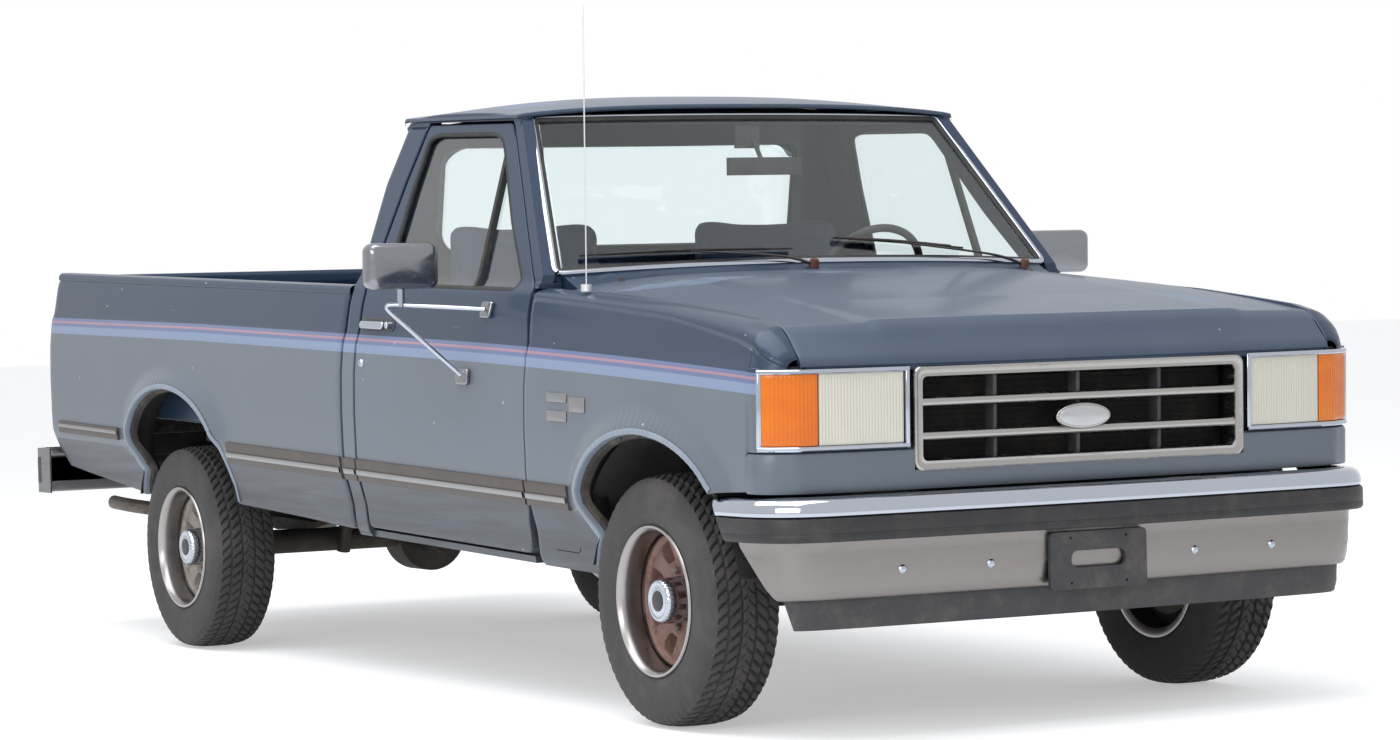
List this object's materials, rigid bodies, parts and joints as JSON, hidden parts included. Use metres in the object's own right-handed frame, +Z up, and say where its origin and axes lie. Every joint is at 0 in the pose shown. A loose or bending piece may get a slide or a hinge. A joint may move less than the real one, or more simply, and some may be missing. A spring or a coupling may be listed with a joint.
{
  "type": "pickup truck",
  "caption": "Two-door pickup truck with a long load bed; doors, hood, tailgate, steering and wheels move.",
  "frame": {"origin": "on the ground, below the middle of the overall box", "axes": "+X to the front, +Y to the left, +Z up"},
  "size_m": [5.465, 2.548, 1.9901],
  "materials": {
    "upper_paint": "metallic, faded clear coat",
    "lower_paint": "metallic, satin with age",
    "bright_trim": "polished, lightly pitted",
    "chassis_black": "dusty black",
    "trim_black": "weathered",
    "tyre_rubber": "dusty, scuffed",
    "window_glass": "lightly tinted",
    "lamp_glass": "hazy, fluted",
    "amber_lens": "translucent",
    "red_lens": "translucent",
    "wheel_paint": "silver, dusty",
    "seat_cloth": "woven",
    "cab_plastic": "grained",
    "cast_metal": "as cast",
    "plain_steel": "dull"
  },
  "bodies": {
    "root": {"frame_rails": "chassis_black", "cab_shell": "upper_paint", "roof": "upper_paint", "cowl": "trim_black", "windshield": "window_glass", "rear_window": "window_glass", "fender_left": "lower_paint", "fender_right": "lower_paint", "front_panel": "lower_paint", "grille": "bright_trim", "headlamps": "lamp_glass", "corner_lamps": "amber_lens", "front_bumper": "bright_trim", "bumper_strip": "trim_black", "air_dam": "trim_black", "plate_bracket": "trim_black", "radiator": "chassis_black", "engine_block": "cast_metal", "driveline": "plain_steel", "front_beams": "chassis_black", "rear_axle": "chassis_black", "leaf_springs": "chassis_black", "shock_absorbers": "chassis_black", "exhaust": "plain_steel", "fuel_tank": "chassis_black", "load_bed": "upper_paint", "bedside_left": "lower_paint", "bedside_right": "lower_paint", "tail_lamps": "red_lens", "rear_bumper": "bright_trim", "bench_seat": "seat_cloth", "dashboard": "cab_plastic", "steering_column": "cab_plastic", "cab_mirror": "cab_plastic", "wipers": "trim_black", "antenna": "bright_trim"},
    "hood": {"hood": "upper_paint"},
    "tailgate": {"tailgate": "upper_paint"},
    "door_left": {"door_left": "lower_paint", "door_glass_left": "window_glass", "mirror_left": "bright_trim"},
    "door_right": {"door_right": "lower_paint", "door_glass_right": "window_glass", "mirror_right": "bright_trim"},
    "knuckle_left": {"knuckle_left": "cast_metal"},
    "knuckle_right": {"knuckle_right": "cast_metal"},
    "steering_wheel": {"steering_wheel": "cab_plastic"},
    "wheel_front_left": {"tyre_front_left": "tyre_rubber", "wheel_front_left": "wheel_paint"},
    "wheel_front_right": {"tyre_front_right": "tyre_rubber", "wheel_front_right": "wheel_paint"},
    "wheel_rear_left": {"tyre_rear_left": "tyre_rubber", "wheel_rear_left": "wheel_paint"},
    "wheel_rear_right": {"tyre_rear_right": "tyre_rubber", "wheel_rear_right": "wheel_paint"}
  },
  "joints": [
    {"name": "hood_lift", "type": "hinge", "parent": "root", "child": "hood", "pos_m": [1.36513, 0, 1.22722], "axis": [0, -1, 0], "range_deg": [0, 50]},
    {"name": "tailgate_drop", "type": "hinge", "parent": "root", "child": "tailgate", "pos_m": [-2.54981, 0, 0.84919], "axis": [0, -1, 0], "range_deg": [0, 90]},
    {"name": "door_left_swing", "type": "hinge", "parent": "root", "child": "door_left", "pos_m": [1.19357, 0.947, 0.84013], "axis": [-0.0297, 0, -0.9996], "range_deg": [0, 65]},
    {"name": "door_right_swing", "type": "hinge", "parent": "root", "child": "door_right", "pos_m": [1.19357, -0.947, 0.84013], "axis": [0.0297, 0, 0.9996], "range_deg": [0, 65]},
    {"name": "steer_left", "type": "hinge", "parent": "root", "child": "knuckle_left", "pos_m": [1.9275, 0.71, 0.345], "axis": [0, 0, 1], "range_deg": [-33, 33]},
    {"name": "steer_right", "type": "hinge", "parent": "root", "child": "knuckle_right", "pos_m": [1.9275, -0.71, 0.345], "axis": [0, 0, 1], "range_deg": [-33, 33]},
    {"name": "steering_wheel_turn", "type": "hinge", "parent": "root", "child": "steering_wheel", "pos_m": [0.95736, 0.38, 1.2073], "axis": [-0.8415, 0, 0.5402], "range_deg": [-495, 495]},
    {"name": "front_left_spin", "type": "hinge", "parent": "knuckle_left", "child": "wheel_front_left", "pos_m": [1.9275, 0.827, 0.345], "axis": [0, 1, 0], "continuous": true},
    {"name": "front_right_spin", "type": "hinge", "parent": "knuckle_right", "child": "wheel_front_right", "pos_m": [1.9275, -0.827, 0.345], "axis": [0, 1, 0], "continuous": true},
    {"name": "rear_left_spin", "type": "hinge", "parent": "root", "child": "wheel_rear_left", "pos_m": [-1.4505, 0.818, 0.345], "axis": [0, 1, 0], "continuous": true},
    {"name": "rear_right_spin", "type": "hinge", "parent": "root", "child": "wheel_rear_right", "pos_m": [-1.4505, -0.818, 0.345], "axis": [0, 1, 0], "continuous": true}
  ],
  "couplings": [
    {"joint": "steer_right", "follows": "steer_left", "ratio": 1},
    {"joint": "steering_wheel_turn", "follows": "steer_left", "ratio": 15}
  ]
}
